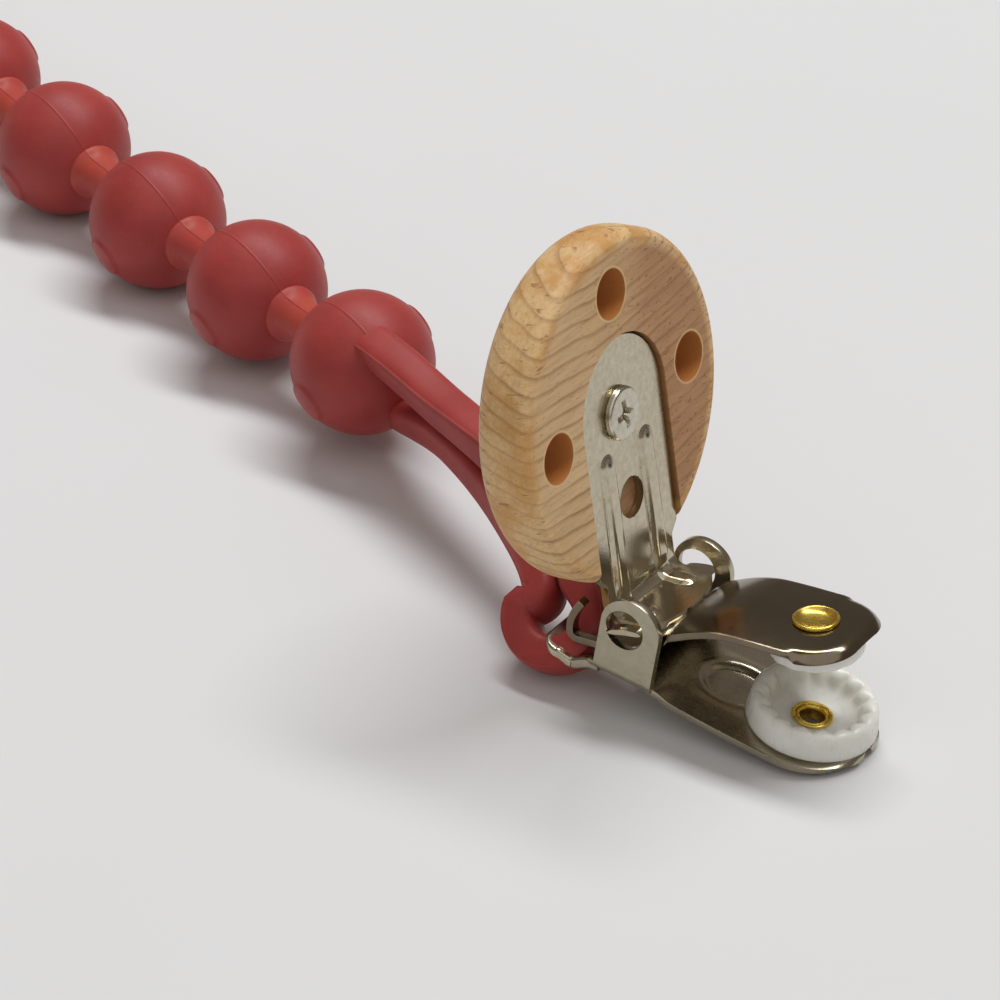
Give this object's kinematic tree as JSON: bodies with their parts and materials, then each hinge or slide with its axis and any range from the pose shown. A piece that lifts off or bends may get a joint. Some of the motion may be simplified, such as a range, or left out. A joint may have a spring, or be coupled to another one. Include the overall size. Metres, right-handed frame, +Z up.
{
  "type": "pacifier chain",
  "caption": "Pacifier chain: a moulded silicone bead strand with a loop at each end, on a hinged metal garment clip whose closing lever carries a round wooden disc.",
  "frame": {"origin": "centre of the wooden disc's outer face, the face that is printed or engraved", "axes": "+X from the clip's rear to its jaws, +Y across the clip towards the strand's side, +Z up from the table"},
  "size_m": [0.2187, 0.1072, 0.0478],
  "materials": {
    "wood": "smooth bare light wood",
    "nickel": "satin nickel plate",
    "dark_nickel": "polished dark nickel plate",
    "steel": "satin nickel-plated pressed steel",
    "screw_steel": "bright plated",
    "brass": "polished",
    "clear_plastic": "milky translucent moulding",
    "silicone": "matte brick-red silicone"
  },
  "bodies": {
    "base": {"base_plate": "steel", "strap_ring": "brass", "lower_pad": "clear_plastic", "lower_eyelet": "brass"},
    "lever": {"lever_plate": "nickel", "wood_disc": "wood", "lever_screw": "screw_steel"},
    "jaw": {"upper_jaw": "dark_nickel", "upper_pad": "clear_plastic", "upper_eyelet": "brass"},
    "clip_loop": {"clip_loop_bead": "silicone"},
    "bead_2": {"bead_2": "silicone"},
    "bead_3": {"bead_3": "silicone"},
    "bead_4": {"bead_4": "silicone"},
    "bead_5": {"bead_5": "silicone"},
    "soother_loop": {"soother_loop_bead": "silicone"}
  },
  "joints": [
    {"name": "lever_hinge", "type": "hinge", "parent": "base", "child": "lever", "pos_m": [0.0116, 0, -0.01913], "axis": [0, 1, 0], "range_deg": [0, 95]},
    {"name": "jaw_hinge", "type": "hinge", "parent": "base", "child": "jaw", "pos_m": [0.00462, 0, -0.02304], "axis": [0, 1, 0], "range_deg": [0, 12.05]},
    {"name": "loop_swing", "type": "hinge", "parent": "base", "child": "clip_loop", "pos_m": [0.0019, -0.00235, -0.02493], "axis": [0, 1, 0], "range_deg": [-120, 0]},
    {"name": "neck_2_bend", "type": "hinge", "parent": "clip_loop", "child": "bead_2", "pos_m": [-0.04798, 0.02708, -0.02033], "axis": [0, 0, 1], "range_deg": [-25, 25], "stiffness_Nm_per_rad": 0.01},
    {"name": "neck_3_bend", "type": "hinge", "parent": "bead_2", "child": "bead_3", "pos_m": [-0.06818, 0.03574, -0.02132], "axis": [0, 0, 1], "range_deg": [-25, 25], "stiffness_Nm_per_rad": 0.01},
    {"name": "neck_4_bend", "type": "hinge", "parent": "bead_3", "child": "bead_4", "pos_m": [-0.08839, 0.04441, -0.02183], "axis": [0, 0, 1], "range_deg": [-25, 25], "stiffness_Nm_per_rad": 0.01},
    {"name": "neck_5_bend", "type": "hinge", "parent": "bead_4", "child": "bead_5", "pos_m": [-0.10861, 0.05307, -0.02183], "axis": [0, 0, 1], "range_deg": [-25, 25], "stiffness_Nm_per_rad": 0.01},
    {"name": "neck_6_bend", "type": "hinge", "parent": "bead_5", "child": "soother_loop", "pos_m": [-0.12883, 0.06174, -0.02183], "axis": [0, 0, 1], "range_deg": [-25, 25], "stiffness_Nm_per_rad": 0.01}
  ],
  "couplings": [
    {"joint": "jaw_hinge", "follows": "lever_hinge", "ratio": 0.12632}
  ]
}
